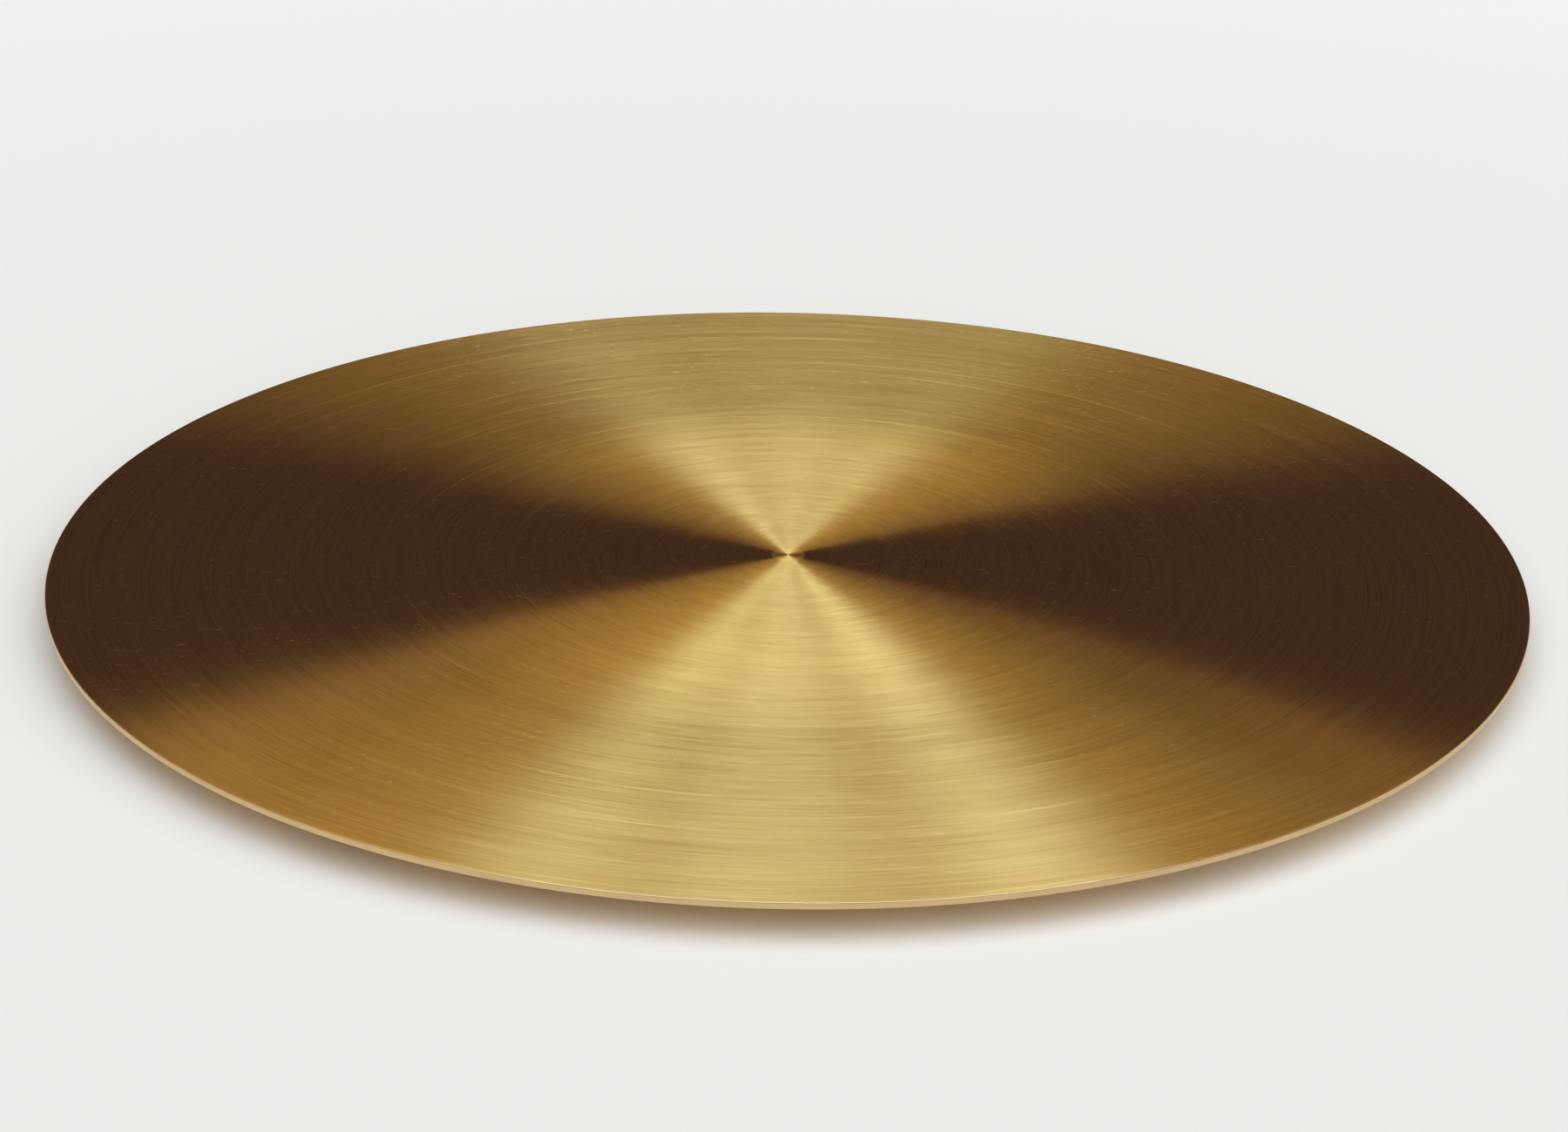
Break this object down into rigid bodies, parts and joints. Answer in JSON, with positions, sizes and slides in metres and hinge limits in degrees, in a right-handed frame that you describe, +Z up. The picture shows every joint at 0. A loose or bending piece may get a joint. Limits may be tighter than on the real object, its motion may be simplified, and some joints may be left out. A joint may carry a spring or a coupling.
{
  "type": "lazy susan turntable",
  "caption": "Thin round brushed-brass plate that turns freely on a slim ball-bearing ring standing on low rubber feet.",
  "frame": {"origin": "centre of the base, on the table top that the rubber feet stand on", "axes": "+Z up along the spin axis, through the centre of the plate; +X through foot_1"},
  "size_m": [0.6999, 0.7, 0.017],
  "materials": {
    "brushed_brass": "circular brushed",
    "foam_tape": "matte acrylic foam",
    "black_powder_coat": "fine-texture powder coat",
    "anodised_aluminium": "satin turned",
    "zinc_steel": "bright zinc",
    "bearing_steel": "polished",
    "nylon_cage": "moulded nylon",
    "black_rubber": "matte rubber"
  },
  "bodies": {
    "base": {"stator_ring": "anodised_aluminium", "filler_plug": "zinc_steel", "foot_1": "black_rubber", "foot_2": "black_rubber", "foot_3": "black_rubber", "foot_4": "black_rubber", "foot_5": "black_rubber", "foot_6": "black_rubber", "foot_7": "black_rubber", "foot_8": "black_rubber"},
    "turntable": {"top_plate": "brushed_brass", "bonding_tape": "foam_tape", "carrier_ring": "black_powder_coat", "rotor_ring": "anodised_aluminium", "rotor_screws": "zinc_steel"},
    "ball_set": {"bearing_balls": "bearing_steel", "cage_segment_1": "nylon_cage", "cage_segment_2": "nylon_cage", "cage_segment_3": "nylon_cage", "cage_segment_4": "nylon_cage", "cage_segment_5": "nylon_cage", "cage_segment_6": "nylon_cage"}
  },
  "joints": [
    {"name": "turntable_spin", "type": "hinge", "parent": "base", "child": "turntable", "pos_m": [0, 0, 0.0065], "axis": [0, 0, 1], "continuous": true},
    {"name": "ball_set_orbit", "type": "hinge", "parent": "base", "child": "ball_set", "pos_m": [0, 0, 0.0065], "axis": [0, 0, 1], "continuous": true}
  ],
  "couplings": [
    {"joint": "ball_set_orbit", "follows": "turntable_spin", "ratio": 0.4951}
  ]
}
